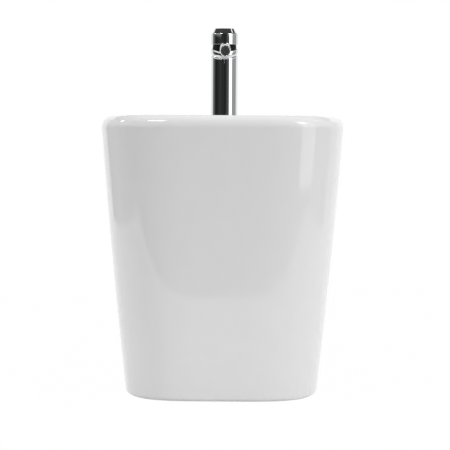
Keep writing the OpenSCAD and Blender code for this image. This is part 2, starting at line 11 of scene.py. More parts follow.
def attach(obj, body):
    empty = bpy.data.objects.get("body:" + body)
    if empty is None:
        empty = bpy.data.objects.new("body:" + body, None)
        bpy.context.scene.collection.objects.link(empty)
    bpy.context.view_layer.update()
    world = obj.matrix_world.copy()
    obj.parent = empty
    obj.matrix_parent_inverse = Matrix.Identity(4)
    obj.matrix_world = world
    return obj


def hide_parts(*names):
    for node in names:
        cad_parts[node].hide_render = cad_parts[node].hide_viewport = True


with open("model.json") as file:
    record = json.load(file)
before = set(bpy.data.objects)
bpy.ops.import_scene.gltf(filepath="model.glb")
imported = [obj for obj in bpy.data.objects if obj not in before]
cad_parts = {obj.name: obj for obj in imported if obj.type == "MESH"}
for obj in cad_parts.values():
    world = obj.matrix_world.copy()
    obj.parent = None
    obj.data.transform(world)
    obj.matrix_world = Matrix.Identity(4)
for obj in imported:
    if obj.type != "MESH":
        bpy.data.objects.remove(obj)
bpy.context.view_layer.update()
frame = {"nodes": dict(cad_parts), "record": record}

MM = 0.001
QUARTER, FULL = math.pi / 2, 2 * math.pi

# ---------------------------------------------------------------- sizes in mm, as in the CAD source

# China body: plan, side lines, foot and rim
BODY_W, BODY_D, RIM_Z = 355, 540, 400
FRONT_Y, BACK_Y = -BODY_D / 2, BODY_D / 2
FOOT_W, FOOT_SET_BACK, FOOT_ROUND = 282, 19, 4
FLARE_BULGE = 0.2
PLAN_POWER, BACK_CORNER_R = 4.1, 12
RIM_ROUND_Z, RIM_ROUND_X = 17, 14
WIDEST_Z = RIM_Z - RIM_ROUND_Z
# Its wall, which thickens towards the foot, and the underside of the rim
WALL, FOOT_EXTRA, FOOT_EXTRA_H = 11, 3, 60
UNDER_Z = RIM_Z - 14
# Holes in the ware, each with its seat where it has one, and the open back
TAP_HOLE_R, WASTE_HOLE_R = 17.5, 23
OVERFLOW_HOLE_R, OVERFLOW_SEAT_R = 11, 14.2
SCREW_HOLE_R, COVER_SEAT_R = 5.5, 9.5
BACK_HOLE_W, BACK_HOLE_TOP, BACK_HOLE_R = 236, 345, 30
# Bowl
BOWL_A, BOWL_B, RIM_FRONT = 132, 165, 43
BOWL_Y = FRONT_Y + RIM_FRONT + BOWL_B
BOWL_POWER, BOWL_PROFILE_POWER, BOWL_EDGE = 2.7, 3.2, 8
# Waste, overflow and side fixings
WASTE_SEAT_Z, WASTE_Y = 236, -10
DRAIN_R, WASTE_TAIL_R, WASTE_TOP_R, TAIL_TOP_Z = 17.5, 20.95, 21.45, 165
THREAD_BOTTOM_Z, THREAD_TOP_Z, THREAD_PITCH, THREAD_DEPTH = 141, 219, 2.309, 1.2
OVERFLOW_Y, OVERFLOW_Z = 102.5, 350
FIXING_Y, FIXING_Z = BACK_Y - 110, 62
# Tap column, with the bowed line between it and the collar
TAP_Y = BACK_Y - 105
COLUMN_R, COLUMN_TOP = 21.2, 498.6
BOW_DROP = 6.1
BOW_R = (COLUMN_R**2 + BOW_DROP**2) / (2 * BOW_DROP)
PORT_R, PORT_X, PORT_Y, CHANNEL_R = 4.5, 8.5, 5, 3.2
# Collar: its crowned band stands proud of the column, and its edges are eased
COLLAR_H, COLLAR_GAP, COLLAR_PROUD, COLLAR_EASE = 11.3, 0.06, 0.45, 0.35
CROWN_R, CROWN_AT = 16, 0.69
SLEEVE_INNER_R, SLEEVE_R, SLEEVE_Z = 17, 18.9, 482
# Neck and cap
PIVOT_Z, NECK_R, NECK_WALL, STEM_HOLE_R = 511, 18.9, 1.8, 10
CAP_R, CAP_BOTTOM, CAP_TOP, CAP_TOP_R, CAP_WALL = 21.7, 516.2, 541.5, 15.9, 2.1
SHOULDER_R, SHOULDER_Z, SHOULDER_H = 19.4, CAP_TOP - 9.1, 2.4
GRUB_SCREW_R, GRUB_SCREW_Z = 3, 527
# Spout, whose nozzle ball sits in the ring at its end
SPOUT_REACH, SPOUT_R, SPOUT_BORE_R, ARCH_R = 112, 8.5, 6.2, 246
NOZZLE_OUT, NOZZLE_Z = 106.9, 502.6
SPOUT_FALL, SPOUT_TURN = math.radians(13), math.radians(1.1)
BALL_R, BALL_SET_BACK, BALL_BACK, BALL_FRONT = 7.4, 5.1, -4.6, 5


# ---------------------------------------------------------------- node tools

# Sockets of a Mix node that mixes colours
COLOUR_A, COLOUR_B, COLOUR_OUT = 6, 7, 2
WHITE = (1, 1, 1, 1)


def linear(hex_colour):
    """sRGB hex to the linear colour a socket takes."""
    values = [int(hex_colour[i : i + 2], 16) / 255 for i in (1, 3, 5)]
    return [v / 12.92 if v <= 0.04045 else ((v + 0.055) / 1.055) ** 2.4 for v in values] + [1]


def feed(tree, socket, value):
    """Sets a socket, or links it where the value is another node's output."""
    if isinstance(value, bpy.types.NodeSocket):
        tree.links.new(value, socket)
    else:
        socket.default_value = value


def add(tree, kind, **settings):
    """A node of that kind. A setting names one of its properties, or a socket with _ for a space."""
    node = tree.nodes.new(kind)
    for key, value in settings.items():
        if hasattr(node, key):
            setattr(node, key, value)
        else:
            feed(tree, node.inputs[key.replace("_", " ")], value)
    return node


def maths(tree, operation, *values):
    """Result of the operation on one or two values."""
    node = add(tree, "ShaderNodeMath", operation=operation)
    for socket, value in zip(node.inputs, values):
        feed(tree, socket, value)
    return node.outputs[0]


def ranged(tree, value, given, wanted=(0, 1)):
    """The value carried from the given range to the wanted one, and held at its ends."""
    return add(tree, "ShaderNodeMapRange", Value=value, From_Min=given[0], From_Max=given[1],
               To_Min=wanted[0], To_Max=wanted[1]).outputs[0]


def mixed_colour(tree, share, first, second):
    """Colour that goes from the first to the second as the share grows."""
    node = add(tree, "ShaderNodeMix", data_type="RGBA", Factor=share)
    feed(tree, node.inputs[COLOUR_A], first)
    feed(tree, node.inputs[COLOUR_B], second)
    return node.outputs[COLOUR_OUT]


def mixed_shader(tree, share, first, second):
    """Shader that goes from the first to the second as the share grows."""
    node = add(tree, "ShaderNodeMixShader", Fac=share)
    feed(tree, node.inputs[1], first)
    feed(tree, node.inputs[2], second)
    return node.outputs[0]


def emptied(owner):
    """Node tree of a new material or world, with nothing in it."""
    owner.use_nodes = True
    owner.node_tree.nodes.clear()
    return owner.node_tree


# ---------------------------------------------------------------- materials


def finish_of(name, colour, **settings):
    """A material with a principled shader. Returns it, its tree, the shader and the object coordinates."""
    material = bpy.data.materials.new(name)
    tree = emptied(material)
    shader = add(tree, "ShaderNodeBsdfPrincipled", Base_Color=linear(colour), **settings)
    add(tree, "ShaderNodeOutputMaterial", Surface=shader.outputs[0])
    where = add(tree, "ShaderNodeTexCoord").outputs["Object"]
    material.diffuse_color = linear(colour)
    return material, tree, shader, where


def noise(tree, where, scale, detail):
    """Even noise over the piece, finer as the scale grows."""
    return add(tree, "ShaderNodeTexNoise", Vector=where, Scale=scale, Detail=detail).outputs[0]


def mottled(tree, shader, pattern, dark, pale):
    """Base colour that wanders between two shades with the pattern."""
    feed(tree, shader.inputs["Base Color"], mixed_colour(tree, pattern, linear(dark), linear(pale)))


def uneven(tree, shader, pattern, least, most):
    """Roughness that wanders between two values with the pattern."""
    feed(tree, shader.inputs["Roughness"], ranged(tree, pattern, (0, 1), (least, most)))


def relief(tree, shader, pattern, strength, depth):
    """Bumps of that depth in metres, on top of those that the shader already has."""
    bump = add(tree, "ShaderNodeBump", Strength=strength, Distance=depth, Height=pattern)
    normal = shader.inputs["Normal"]
    if normal.is_linked:
        feed(tree, bump.inputs["Normal"], normal.links[0].from_socket)
    feed(tree, normal, bump.outputs[0])


def glazed_china():
    """Vitreous china, slip cast and spray glazed: white and mirror-bright, with a glaze's faint ripple."""
    material, tree, shader, where = finish_of("glazed_china", "#EBEBEB", Roughness=0.05, IOR=1.52)
    ripple = noise(tree, where, 42.0, 1.0)
    mottled(tree, shader, ripple, "#EAEAEA", "#EDEDED")
    relief(tree, shader, ripple, 0.12, 0.0003)
    relief(tree, shader, noise(tree, where, 900.0, 2.0), 0.05, 0.00003)
    return material


def bare_china():
    """Fired china without glaze, inside the pedestal and under the foot: chalky, warm, finely gritty."""
    material, tree, shader, where = finish_of("bare_china", "#DAD6CE", Roughness=0.82, IOR=1.5)
    grit = noise(tree, where, 700.0, 3.0)
    mottled(tree, shader, grit, "#D2CDC4", "#E1DED7")
    relief(tree, shader, grit, 0.4, 0.0002)
    return material


def chrome_plate():
    """Polished brass castings plated with nickel and chrome: a cool mirror whose polish varies slightly."""
    material, tree, shader, where = finish_of("chrome_plate", "#E1E3E4", Metallic=1.0, Roughness=0.03)
    uneven(tree, shader, noise(tree, where, 160.0, 2.0), 0.015, 0.05)
    return material


def satin_black_abs():
    """Black ABS from a satin mould: deep black with a soft, uneven sheen and no clear reflections."""
    material, tree, shader, where = finish_of("satin_black_abs", "#070708", Roughness=0.5, IOR=1.45,
                                              Specular_IOR_Level=0.2)
    uneven(tree, shader, noise(tree, where, 220.0, 2.0), 0.44, 0.58)
    return material


def moulded_acetal(name, colour):
    """Acetal from a spark-eroded mould: even colour and a fine dull grain about 0.5 mm across."""
    material, tree, shader, where = finish_of(name, colour, Roughness=0.55, IOR=1.48)
    grain = noise(tree, where, 1800.0, 2.0)
    relief(tree, shader, grain, 0.25, 0.00005)
    uneven(tree, shader, grain, 0.48, 0.62)
    return material


def moulded_rubber():
    """EPDM sealing rubber, moulded: near black, matt, with a dusty bloom in soft patches."""
    material, tree, shader, where = finish_of("moulded_rubber", "#1B1B1B", Roughness=0.78, IOR=1.5)
    bloom = noise(tree, where, 260.0, 3.0)
    mottled(tree, shader, bloom, "#151515", "#262625")
    relief(tree, shader, bloom, 0.3, 0.00008)
    return material


def turned_brass():
    """Brass turned on a lathe: warm yellow with fine tool marks 1 mm apart, running round the part."""
    material, tree, shader, where = finish_of("turned_brass", "#C8A15A", Metallic=1.0, Roughness=0.28)
    marks = add(tree, "ShaderNodeTexWave", bands_direction="Z", Vector=where, Scale=320.0, Distortion=0.6,
                Detail=1.0).outputs[1]
    relief(tree, shader, marks, 0.2, 0.00004)
    uneven(tree, shader, marks, 0.22, 0.36)
    return material


def rolled_stainless():
    """Stainless bar and strip with a rolled, brushed surface: grey metal with fine streaks along Y."""
    material, tree, shader, where = finish_of("rolled_stainless", "#B2B4B5", Metallic=1.0, Roughness=0.32)
    along = add(tree, "ShaderNodeMapping", Vector=where, Scale=(1, 0.04, 1)).outputs[0]
    streaks = noise(tree, along, 1500.0, 2.0)
    relief(tree, shader, streaks, 0.15, 0.00003)
    uneven(tree, shader, streaks, 0.24, 0.42)
    return material


finishes = {
    "vitreous_china": glazed_china(),
    "chrome": chrome_plate(),
    "black_plastic": satin_black_abs(),
    "dark_plastic": moulded_acetal("dark_acetal", "#4E4E4F"),
    "grey_plastic": moulded_acetal("grey_acetal", "#8C8D8F"),
    "white_plastic": moulded_acetal("white_acetal", "#E4E3DE"),
    "rubber": moulded_rubber(),
    "brass": turned_brass(),
    "steel": rolled_stainless(),
}
bare = bare_china()
for part in frame["record"]["subparts"]:
    mesh = frame["nodes"][part["node"]].data
    mesh.materials.clear()
    mesh.materials.append(finishes[part["material_slot"]])


# ---------------------------------------------------------------- mesh tools

# Points closer than this are one, and faces thinner than this go, in millimetres
WELD, SLIVER = 1e-4, 1e-5
# Rounding a profile: the share of a run that an arc may take, the half angle in degrees from which a
# corner counts as straight, and how far past an arc the next point lies, in mm and as a share of the run
ARC_SHARE, STRAIGHT, PAST_ARC, PAST_ARC_SHARE = 0.45, 84, 0.12, 0.1
BLOCK_EASE = 0.3


def span(start, stop, count):
    """That many even steps from start to stop, both included."""
    return [start + (stop - start) * i / (count - 1) for i in range(count)]


def circle(count):
    """Angles of that many points round a circle."""
    return [FULL * i / count for i in range(count)]


def around_axis(r, a, z):
    """Point at that radius, angle and height."""
    return Vector((r * math.cos(a), r * math.sin(a), z))


def move(x, y, z):
    """Matrix that moves by that much."""
    return Matrix.Translation((x, y, z))


def turn(angle, axis):
    """Matrix that turns by the angle about X, Y or Z."""
    return Matrix.Rotation(angle, 4, axis)


def as_object(name, bm, materials=(), sharp=35):
    """A mesh object from bm, in millimetres, with smooth faces and edges over the sharp angle kept hard."""
    bmesh.ops.remove_doubles(bm, verts=bm.verts, dist=WELD)
    bmesh.ops.dissolve_degenerate(bm, edges=bm.edges, dist=SLIVER)
    bmesh.ops.recalc_face_normals(bm, faces=bm.faces)
    bmesh.ops.scale(bm, vec=(MM, MM, MM), verts=bm.verts)
    mesh = bpy.data.meshes.new(name)
    bm.to_mesh(mesh)
    bm.free()
    for material in materials:
        mesh.materials.append(material)
    piece = bpy.data.objects.new(name, mesh)
    bpy.context.scene.collection.objects.link(piece)
    soften(mesh, sharp)
    return piece


def soften(mesh, sharp):
    """Smooth shading, with hard edges where two faces meet at more than that angle."""
    bm = bmesh.new()
    bm.from_mesh(mesh)
    for face in bm.faces:
        face.smooth = True
    for edge in bm.edges:
        edge.smooth = len(edge.link_faces) == 2 and edge.calc_face_angle(0) < math.radians(sharp)
    bm.to_mesh(mesh)
    bm.free()


def skin(bm, loops, material_of=None, around=True, ends=True):
    """Faces between rows of equally many points. Around closes each row, and ends closes both end rows."""
    rows = [[bm.verts.new(p) for p in loop] for loop in loops]
    count = len(rows[0])
    for j in range(len(rows) - 1):
        for i in range(count if around else count - 1):
            k = (i + 1) % count
            face = bm.faces.new((rows[j][i], rows[j][k], rows[j + 1][k], rows[j + 1][i]))
            face.material_index = material_of(j) if material_of else 0
    if ends:
        bm.faces.new(list(reversed(rows[0])))
        bm.faces.new(rows[-1])


def rounded(profile, radius, steps=5, closed=True):
    """The profile with each corner turned into an arc, and a point close to both ends of every run."""
    points = [Vector(p) for p in profile]
    count = len(points)
    result = []
    for i, corner in enumerate(points):
        if not closed and i in (0, count - 1):
            result.append(tuple(corner))
            continue
        before, after = points[i - 1] - corner, points[(i + 1) % count] - corner
        reach = min(before.length, after.length) * ARC_SHARE
        half = before.angle(after) / 2
        if math.degrees(half) > STRAIGHT:
            result.append(tuple(corner))
            continue
        run = min(radius / math.tan(half), reach)
        past = min(PAST_ARC, reach * PAST_ARC_SHARE)
        start, end = corner + before.normalized() * run, corner + after.normalized() * run
        centre = corner + (before.normalized() + after.normalized()).normalized() * (run / math.cos(half))
        first = math.atan2(*(start - centre).yx)
        sweep = (math.atan2(*(end - centre).yx) - first + math.pi) % FULL - math.pi
        size = (start - centre).length
        result.append(tuple(start + before.normalized() * past))
        for k in range(steps + 1):
            a = first + sweep * k / steps
            result.append((centre.x + size * math.cos(a), centre.y + size * math.sin(a)))
        result.append(tuple(end + after.normalized() * past))
    return result


def turned(bm, profile, axis, count, closed=True):
    """Faces of a shape turned about the Z of the axis matrix. A profile point is (radius, height)."""
    loops = [[axis @ around_axis(r, a, z) for a in circle(count)] for r, z in profile]
    skin(bm, loops + loops[:1] if closed else loops, ends=False)


def cut(piece, cutters, sharp=30):
    """Takes the cutters out of the piece, one after another, and leaves a plain mesh."""
    for cutter in cutters:
        step = piece.modifiers.new("cut", "BOOLEAN")
        step.operation, step.solver, step.object = "DIFFERENCE", "EXACT", cutter
        apply_modifiers(piece)
        bpy.data.objects.remove(cutter)
    soften(piece.data, sharp)


def apply_modifiers(piece):
    """Turns the piece, as its modifiers leave it, into a plain mesh."""
    bpy.context.view_layer.update()
    seen = piece.evaluated_get(bpy.context.evaluated_depsgraph_get())
    mesh = bpy.data.meshes.new_from_object(seen)
    piece.modifiers.clear()
    piece.data = mesh


def drill(radius, low, high, axis, count=96):
    """A round cutter about the axis."""
    bm = bmesh.new()
    turned(bm, [(0, low), (radius, low), (radius, high), (0, high)], axis, count, closed=False)
    return as_object("cutter", bm)


def block(low, high):
    """A plain block between two corners, with its edges eased."""
    bm = bmesh.new()
    (x0, y0, z0), (x1, y1, z1) = low, high
    skin(bm, [[(x0, y0, z), (x1, y0, z), (x1, y1, z), (x0, y1, z)] for z in (z0, z1)])
    bmesh.ops.bevel(bm, geom=bm.edges, offset=BLOCK_EASE, segments=2, affect="EDGES")
    return as_object("block", bm)


def outfit(piece, body, slot, *replaced):
    """The piece rides on the body and stands for those CAD nodes. The slot is not used."""
    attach(piece, body)
    if replaced:
        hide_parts(*replaced)


# Frames whose Z is the axis of what is turned there
TAP = move(0, TAP_Y, 0)
WASTE = move(0, WASTE_Y, 0)
NOZZLE = TAP @ turn(SPOUT_TURN, "Z") @ move(0, -NOZZLE_OUT, NOZZLE_Z) @ turn(QUARTER + SPOUT_FALL, "X")
SPOUT = NOZZLE @ move(0, 0, -NOZZLE_OUT)
OVERFLOW = move(0, OVERFLOW_Y, OVERFLOW_Z) @ turn(-QUARTER, "X")


# ---------------------------------------------------------------- china body

# Points of the plan: over the front, along a side, round a back corner and across the back
FRONT_STEPS, SIDE_STEPS, CORNER_STEPS, BACK_STEPS = 200, 24, 8, 24
# A row of points this far past a rounded edge keeps the shading of the flat beside it flat
PAST_EDGE = 0.8
WELL_R, WELL_MIDDLE_R = 34.5, 24
DUCT_W, DUCT_D, DUCT_POWER = 46, 26, 4


def flare(z):
    """Share of the way from the foot's width to the widest width, at that height."""
    t = min(z, WIDEST_Z) / WIDEST_Z
    return t + FLARE_BULGE * t * (1 - t)


def half_width(z):
    """Half of the body's width at that height."""
    return FOOT_W / 2 + (BODY_W - FOOT_W) / 2 * flare(z)


def super_r(a, power):
    """Radius of a superellipse of half axes 1 at angle a. Power 2 is a circle, and more is squarer."""
    return (abs(math.cos(a)) ** power + abs(math.sin(a)) ** power) ** (-1 / power)


def ware_loop(z, inset, height=None):
    """Plan of the ware at height z, taken in by inset, and drawn at another height if one is given."""
    a, y1, r = half_width(z) - inset, BACK_Y - inset, BACK_CORNER_R
    b = -FRONT_Y - FOOT_SET_BACK * (1 - flare(z)) - inset
    h = z if height is None else height
    corner = [QUARTER * i / CORNER_STEPS for i in range(1, CORNER_STEPS + 1)]
    front = [math.pi + math.pi * i / FRONT_STEPS for i in range(FRONT_STEPS + 1)]
    points = [(a * super_r(t, PLAN_POWER) * math.cos(t), b * super_r(t, PLAN_POWER) * math.sin(t))
              for t in front]
    points += [(a, (y1 - r) * i / SIDE_STEPS) for i in range(1, SIDE_STEPS + 1)]
    points += [(a - r + r * math.cos(t), y1 - r + r * math.sin(t)) for t in corner]
    points += [((a - r) * (1 - 2 * i / BACK_STEPS), y1) for i in range(1, BACK_STEPS + 1)]
    points += [(-a + r - r * math.sin(t), y1 - r + r * math.cos(t)) for t in corner]
    points += [(-a, (y1 - r) * (1 - i / SIDE_STEPS)) for i in range(1, SIDE_STEPS)]
    return [(x, y, h) for x, y in points]


LOOP_COUNT = len(ware_loop(0, 0))


def oval_loop(a, b, cy, z, power):
    """Oval about (0, cy) with a point for each point of the ware's plan."""
    points = []
    for i in range(LOOP_COUNT):
        if i <= FRONT_STEPS:
            t = math.pi + math.pi * i / FRONT_STEPS
        else:
            t = math.pi * (i - FRONT_STEPS) / (LOOP_COUNT - FRONT_STEPS)
        s = super_r(t, power)
        points.append((a * s * math.cos(t), cy + b * s * math.sin(t), z))
    return points


def bowl_loop(degrees, grow, z0, z1):
    """Bowl section at an angle of its profile, grown outwards, between z0 and z1, drifting to the waste."""
    t = math.radians(degrees)
    k = super_r(t, BOWL_PROFILE_POWER)
    s, d = k * math.cos(t), k * math.sin(t)
    return oval_loop(s * (BOWL_A + grow), s * (BOWL_B + grow), BOWL_Y + (WASTE_Y - BOWL_Y) * d**5,
                     z0 + (z1 - z0) * d, BOWL_POWER + (2 - BOWL_POWER) * d)


def inside_rows():
    """Rows of the bare inside: up under the bowl, round under the rim and down the wall to the floor."""
    rows = [bowl_loop(t, WALL, UNDER_Z, WASTE_SEAT_Z - WALL) for t in span(76, 0, 26)]
    rows += [ware_loop(UNDER_Z, WALL + 7), ware_loop(UNDER_Z - 2, WALL + 2), ware_loop(UNDER_Z - 7, WALL)]
    return rows + [ware_loop(z, WALL + FOOT_EXTRA * max(0, 1 - z / FOOT_EXTRA_H)) for z in span(330, 0, 14)]


def outside_rows():
    """Rows of the glazed outside: round the foot's edge, up the wall and over the rounded rim."""
    rows = [ware_loop(FOOT_ROUND * (1 - math.sin(t)), FOOT_ROUND * (1 - math.cos(t)))
            for t in span(QUARTER, 0, 9)]
    rows += [ware_loop(z, 0) for z in span(6, WIDEST_Z - 1, 48)]
    rows += [ware_loop(WIDEST_Z, RIM_ROUND_X * (1 - math.cos(t)), WIDEST_Z + RIM_ROUND_Z * math.sin(t))
             for t in span(0, QUARTER, 22)]
    return rows + [ware_loop(WIDEST_Z, RIM_ROUND_X + PAST_EDGE, RIM_Z)]


def bowl_rows():
    """Rows of the bowl: its rounded lip, its wall and the flat seat round the waste."""
    lip = BOWL_EDGE + PAST_EDGE
    rows = [oval_loop(BOWL_A + lip, BOWL_B + lip, BOWL_Y, RIM_Z, BOWL_POWER)]
    for t in span(0, QUARTER, 12)[:-1]:
        grow = BOWL_EDGE * (1 - math.sin(t))
        z = RIM_Z - BOWL_EDGE * (1 - math.cos(t))
        rows.append(oval_loop(BOWL_A + grow, BOWL_B + grow, BOWL_Y, z, BOWL_POWER))
    rows += [bowl_loop(t, 0, RIM_Z - BOWL_EDGE, WASTE_SEAT_Z) for t in span(0, 67.5, 34)]
    return rows + [oval_loop(r, r, WASTE_Y, WASTE_SEAT_Z, 2) for r in (WELL_R, WELL_MIDDLE_R)]


def china_body():
    """The slip-cast shell in one skin, with its holes and the open back cut out of it."""
    inside = inside_rows()
    bm = bmesh.new()
    skin(bm, inside + outside_rows() + bowl_rows(), lambda row: 1 if row <= len(inside) else 0)
    body = as_object("china_body", bm, [finishes["vitreous_china"], bare])
    tap_and_waste = [drill(TAP_HOLE_R, 380, 410, TAP), drill(WASTE_HOLE_R, 200, 245, WASTE)]
    overflow_hole = [drill(OVERFLOW_HOLE_R, -15, 25, OVERFLOW), drill(OVERFLOW_SEAT_R, -12, 0, OVERFLOW)]
    screw_holes = [drill(SCREW_HOLE_R, -20, 5, side_fixing(side), 48) for side in (-1, 1)]
    cover_seats = [drill(COVER_SEAT_R, -1.2, 5, side_fixing(side), 64) for side in (-1, 1)]
    cut(body, [rear_opening()] + tap_and_waste + overflow_hole + screw_holes + cover_seats, 35)
    outfit(body, "pan", "vitreous_china", "ceramic_pedestal", "ceramic_basin")


def waste_boss():
    """Boss under the bowl that the waste clamps to, and the cast overflow channel that leads down to it."""
    bm = bmesh.new()
    turned(bm, rounded([(23, 236), (23, 184), (41, 184), (41, 232), (30, 234)], 2.0), WASTE, 96)
    duct_walls(bm)
    boss = as_object("waste_boss", bm, [bare])
    outfit(boss, "pan", "vitreous_china")


def duct_walls(bm):
    """Outside of the overflow channel: each station gives its middle's Y and Z and its section's lean."""
    loops = []
    for y, z, lean in [(121, 352, 0), (112, 276, 0.35), (92, 228, 0.95), (60, 217, 1.3), (22, 208, 1.3)]:
        ring = []
        for a in circle(32):
            s = super_r(a, DUCT_POWER)
            u = DUCT_D / 2 * s * math.sin(a)
            ring.append((DUCT_W / 2 * s * math.cos(a), y + u * math.cos(lean), z - u * math.sin(lean)))
        loops.append(ring)
    skin(bm, loops)


def rear_opening():
    """Cutter for the open back of the pedestal: straight sides with rounded top corners."""
    w, top, r = BACK_HOLE_W / 2, BACK_HOLE_TOP, BACK_HOLE_R
    outline = [(-w, -10), (w, -10)]
    outline += [(w - r + r * math.cos(t), top - r + r * math.sin(t)) for t in span(0, QUARTER, 12)]
    outline += [(-w + r - r * math.sin(t), top - r + r * math.cos(t)) for t in span(0, QUARTER, 12)]
    bm = bmesh.new()
    skin(bm, [[(x, y, z) for x, z in outline] for y in (BACK_Y - WALL - 15, BACK_Y + 5)])
    return as_object("cutter", bm)


def side_fixing(side):
    """Frame of a side fixing: Z runs out through the side wall, with 0 on its face."""
    lean = math.atan((half_width(FIXING_Z + 5) - half_width(FIXING_Z - 5)) / 10)
    out = move(half_width(FIXING_Z), FIXING_Y, FIXING_Z) @ turn(QUARTER + lean, "Y")
    return out if side > 0 else Matrix.Scale(-1, 4, (1, 0, 0)) @ out


# ---------------------------------------------------------------- chrome mixer


def bow(z, across):
    """Height of the bowed line whose sides stand at z, that far in front of or behind the column's axis."""
    return z - (BOW_R - math.sqrt(max(BOW_R**2 - across**2, 0)))


def bowed(bm, rows, reach=None, closed=False):
    """Faces turned about the column's axis. A row is (radius, height, whether it follows the bow).
    The bow is taken at the reach where one is given, and otherwise at the row's own radius."""
    loops = []
    for r, z, bent in rows + rows[:1] if closed else rows:
        heights = [bow(z, (reach or r) * math.sin(a)) if bent else z for a in circle(192)]
        loops.append([TAP @ around_axis(r, a, height) for a, height in zip(circle(192), heights)])
    skin(bm, loops, ends=False)


def column():
    """Tap column: a turned groove in its base holds the seal, and its top edge follows the bow."""
    deck, top = RIM_Z, COLUMN_TOP
    base = [(0, deck + 0.4), (17.6, deck + 0.4), (17.8, deck + 2.4), (20.2, deck + 2.4), (20.2, deck + 0.4),
            (20.7, deck + 0.4), (21.05, deck + 0.55), (COLUMN_R, deck + 0.9)]
    side = [(COLUMN_R, z) for z in span(402, 492, 10)]
    edge = [(COLUMN_R, top - 0.5), (21.15, top - 0.25), (21.0, top - 0.05), (20.8, top), (19, top)]
    socket = [(19, 470), (15.2, 470), (15.2, 500), (12.6, 500), (12.6, 452), (0, 452)]
    bm = bmesh.new()
    bowed(bm, [(r, z, False) for r, z in base + side] + [(r, z, True) for r, z in edge]
          + [(r, z, False) for r, z in socket])
    body = as_object("tap_column", bm, [finishes["chrome"]])
    ports = [move(side * PORT_X, TAP_Y + PORT_Y, 0) for side in (-1, 1)]
    cut(body, [drill(PORT_R, 399, 416, port, 48) for port in ports]
        + [drill(CHANNEL_R, 399, 454, port, 32) for port in ports])
    outfit(body, "pan", "chrome", "tap_body")


def collar_r(share):
    """Radius of the collar's crowned band at that share of its height. The crown lies above its middle."""
    rise = COLLAR_H * (share - CROWN_AT)
    return COLUMN_R + COLLAR_PROUD - CROWN_R + math.sqrt(CROWN_R**2 - rise**2)


def arch_frame(back):
    """Frame on the arch's centre line, that far behind the nozzle ball, with Z towards the nozzle."""
    return NOZZLE @ move(0, -ARCH_R, 0) @ turn(-back / ARCH_R, "X") @ move(0, ARCH_R, 0)


def spout():
    """Collar with bowed edges, its sleeve inside the column, and the arched spout tube."""
    low, high = COLUMN_TOP + COLLAR_GAP, COLUMN_TOP + COLLAR_H
    band = []
    for share in span(0, 1, 25):
        edge = min(share, 1 - share) * COLLAR_H
        eased = COLLAR_EASE * max(0, 1 - edge / COLLAR_EASE) ** 2
        band.append((collar_r(share) - eased, low + (high - low) * share, True))
    seat_r, seat_z = NECK_R + 0.1, COLUMN_TOP - BOW_DROP - 0.5
    sleeve = [(SLEEVE_INNER_R, SLEEVE_Z, False), (SLEEVE_R, SLEEVE_Z, False), (SLEEVE_R, low, True)]
    neck_seat = [(seat_r, high, True), (seat_r, seat_z, False), (SLEEVE_INNER_R, seat_z, False)]
    bm = bmesh.new()
    bowed(bm, sleeve + band + neck_seat, COLUMN_R, closed=True)
    tube = [(SPOUT_R, back) for back in span(90, 1.25, 60)]
    tube += [(SPOUT_R - 0.15, 1.1), (SPOUT_BORE_R, 1.1), (SPOUT_BORE_R, 90)]
    loops = []
    for r, back in tube + tube[:1]:
        place = arch_frame(back)
        loops.append([place @ around_axis(r, a, 0) for a in circle(96)])
    skin(bm, loops, ends=False)
    body = as_object("spout_and_collar", bm, [finishes["chrome"]], 30)
    outfit(body, "pan", "chrome", "spout")


def ball_arc(radius, middle, angles):
    """Profile points on a ball, at those angles from its top."""
    return [(radius * math.sin(t), middle + radius * math.cos(t)) for t in angles]


def neck():
    """Black dome under the cap, part of a ball about the handle's pivot, with holes for stem and spout."""
    inner_r = NECK_R - NECK_WALL
    dome = ball_arc(NECK_R, PIVOT_Z, span(QUARTER, math.acos(STEM_HOLE_R / NECK_R), 20))
    inside = ball_arc(inner_r, PIVOT_Z, span(math.acos(STEM_HOLE_R / inner_r), QUARTER, 16))
    bm = bmesh.new()
    turned(bm, [(inner_r, 498.7), (NECK_R, 498.7)] + dome + inside, TAP, 128)
    body = as_object("neck_dome", bm, [finishes["black_plastic"]])
    cut(body, [drill(SPOUT_R + 0.05, -12, 16, arch_frame(88))])
    outfit(body, "pan", "black_plastic", "neck_shroud")


def cap():
    """Cap without a lever: straight side, round shoulder, steep bevel and flat top, eased by polishing."""
    inner_r, roof = CAP_R - CAP_WALL, CAP_TOP - 2.6
    side = rounded([(inner_r, CAP_BOTTOM), (CAP_R, CAP_BOTTOM), (CAP_R, SHOULDER_Z)], 0.5, 6, closed=False)
    shoulder = [(SHOULDER_R + (CAP_R - SHOULDER_R) * math.cos(t), SHOULDER_Z + SHOULDER_H * math.sin(t))
                for t in span(0, QUARTER, 15)[1:-1]]
    bevel = rounded([shoulder[-1], (SHOULDER_R, SHOULDER_Z + SHOULDER_H), (CAP_TOP_R + 0.3, CAP_TOP),
                     (0, CAP_TOP)], 0.6, 8, closed=False)
    inside = [(0, roof), (CAP_TOP_R - 2.3, roof), (SHOULDER_R - 2.4, SHOULDER_Z), (inner_r, SHOULDER_Z - 2),
              (inner_r, CAP_BOTTOM)]
    bm = bmesh.new()
    turned(bm, side + shoulder[:-1] + bevel + inside, TAP, 192, closed=False)
    body = as_object("handle_cap_shell", bm, [finishes["chrome"]])
    cut(body, [drill(GRUB_SCREW_R, 0, 30, move(0, TAP_Y, GRUB_SCREW_Z) @ turn(-QUARTER, "X"), 64)])
    outfit(body, "mixer_handle", "chrome", "handle_cap")


